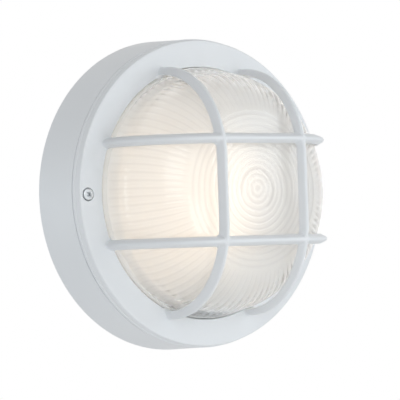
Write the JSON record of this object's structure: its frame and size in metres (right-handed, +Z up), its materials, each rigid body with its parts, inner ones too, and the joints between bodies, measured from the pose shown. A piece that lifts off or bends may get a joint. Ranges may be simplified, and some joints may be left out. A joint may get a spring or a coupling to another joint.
{
  "type": "outdoor wall light",
  "caption": "Round wall-mounted bulkhead light: ribbed frosted glass dome clamped to a cast housing by a cast bezel with a crossed-bar guard.",
  "frame": {"origin": "centre of the cable entry, on the wall plane that the light is fixed to", "axes": "+Y into the wall, +Z up, +X to the right for someone who looks at the light; it faces -Y"},
  "size_m": [0.254, 0.1325, 0.254],
  "materials": {
    "white_paint": "satin powder coat on die-cast aluminium",
    "white_enamel": "gloss enamel on pressed steel",
    "frosted_glass": "pressed glass, frosted inside, with ribs and rings",
    "lamp_glass": "opal envelope with a metal screw base, lit",
    "stainless": "stainless steel",
    "zinc_steel": "bright zinc plate",
    "brass": "plain brass",
    "porcelain": "glazed",
    "white_nylon": "moulded nylon",
    "brown_insulation": "silicone insulation",
    "blue_insulation": "silicone insulation",
    "black_rubber": "moulded rubber",
    "grey_rubber": "moulded rubber",
    "foam": "closed-cell foam strip"
  },
  "bodies": {
    "root": {"base_housing": "white_paint", "wall_gasket": "foam", "cable_grommet": "black_rubber", "reflector": "white_enamel", "reflector_screws": "zinc_steel", "lampholder_bracket": "zinc_steel", "bracket_screws": "zinc_steel", "lampholder_body": "porcelain", "holder_screws": "zinc_steel", "holder_terminal_screws": "brass", "socket_shell": "brass", "centre_contact": "brass", "bulb": "lamp_glass", "terminal_block": "white_nylon", "terminal_barrels": "brass", "terminal_clamp_screws": "zinc_steel", "terminal_fixing_screw": "zinc_steel", "live_lead": "brown_insulation", "neutral_lead": "blue_insulation", "earth_screw": "brass", "earth_washer": "brass", "glass_gasket": "grey_rubber", "glass_dome": "frosted_glass", "guard_frame": "white_paint", "cover_screws": "stainless", "cover_screw_washers": "grey_rubber"}
  },
  "joints": []
}
